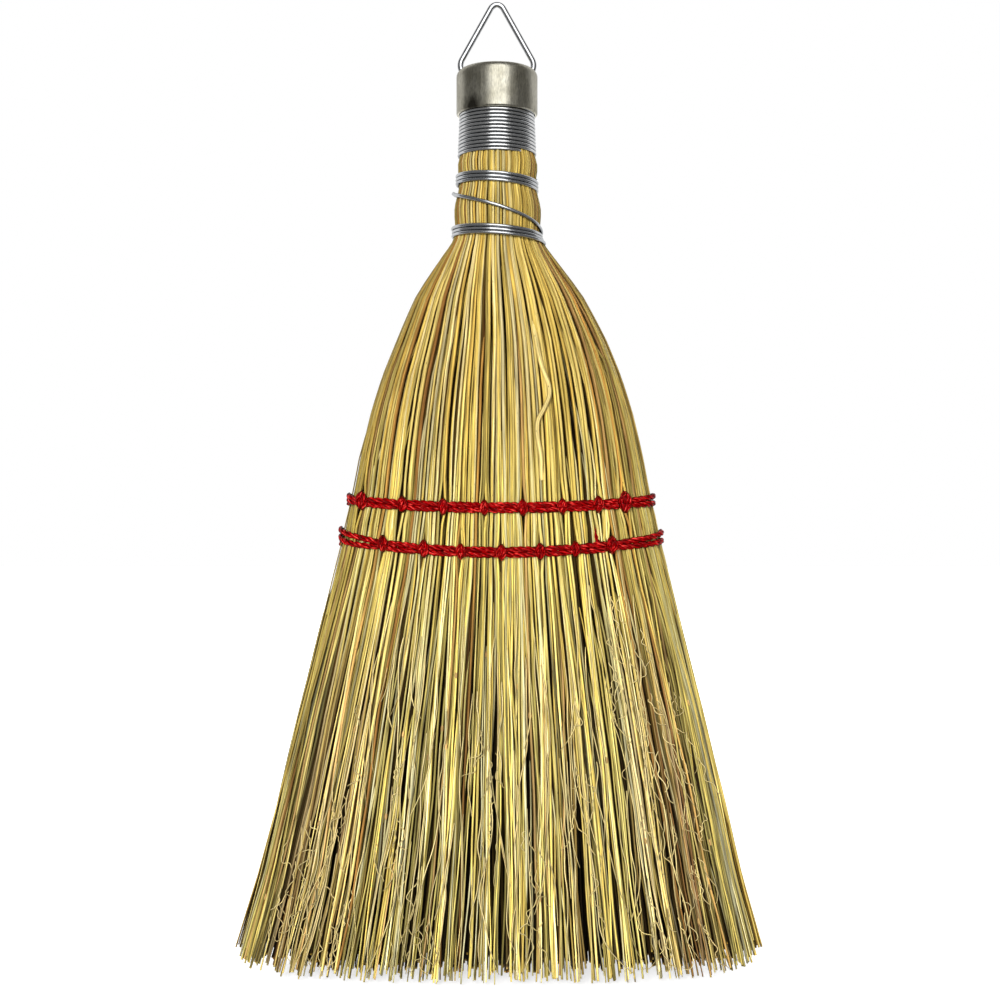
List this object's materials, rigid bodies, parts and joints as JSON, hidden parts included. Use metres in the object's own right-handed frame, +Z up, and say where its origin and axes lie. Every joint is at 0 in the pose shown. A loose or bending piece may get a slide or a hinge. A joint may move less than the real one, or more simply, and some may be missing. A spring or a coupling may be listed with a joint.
{
  "type": "whisk broom",
  "caption": "Flat fan of broomcorn sewn with twine, bound with wire to a round neck and closed by a metal cap with a swinging ring to hang it by; for sweeping by hand.",
  "frame": {"origin": "on the floor under the middle of the straw tips", "axes": "+Z up along the handle to the ring, X across the fan, the front looks along -Y"},
  "size_m": [0.175, 0.0398, 0.322],
  "materials": {
    "cap_metal": "satin",
    "ring_wire": "satin",
    "binding_wire": "bright drawn",
    "twine": "twisted, slightly glossy",
    "straw": "dry straw"
  },
  "bodies": {
    "broom": {"cap": "cap_metal", "collar_wire": "binding_wire", "neck_wire": "binding_wire", "upper_twine_band": "twine", "lower_twine_band": "twine", "upper_stitches": "twine", "lower_stitches": "twine", "front_tuft_01": "straw", "front_tuft_02": "straw", "front_tuft_03": "straw", "front_tuft_04": "straw", "front_tuft_05": "straw", "front_tuft_06": "straw", "front_tuft_07": "straw", "front_tuft_08": "straw", "front_tuft_09": "straw", "front_tuft_10": "straw", "front_tuft_11": "straw", "front_tuft_12": "straw", "front_tuft_13": "straw", "front_tuft_14": "straw", "back_tuft_01": "straw", "back_tuft_02": "straw", "back_tuft_03": "straw", "back_tuft_04": "straw", "back_tuft_05": "straw", "back_tuft_06": "straw", "back_tuft_07": "straw", "back_tuft_08": "straw", "back_tuft_09": "straw", "back_tuft_10": "straw", "back_tuft_11": "straw", "back_tuft_12": "straw", "back_tuft_13": "straw", "back_tuft_14": "straw", "inside_tuft_1": "straw", "inside_tuft_2": "straw", "inside_tuft_3": "straw", "inside_tuft_4": "straw", "inside_tuft_5": "straw", "inside_tuft_6": "straw", "inside_tuft_7": "straw", "left_edge_tuft": "straw", "right_edge_tuft": "straw"},
    "ring": {"hang_ring": "ring_wire"}
  },
  "joints": [
    {"name": "ring_swing", "type": "hinge", "parent": "broom", "child": "ring", "pos_m": [0, 0, 0.2968], "axis": [1, 0, 0], "range_deg": [-43, 43]}
  ]
}
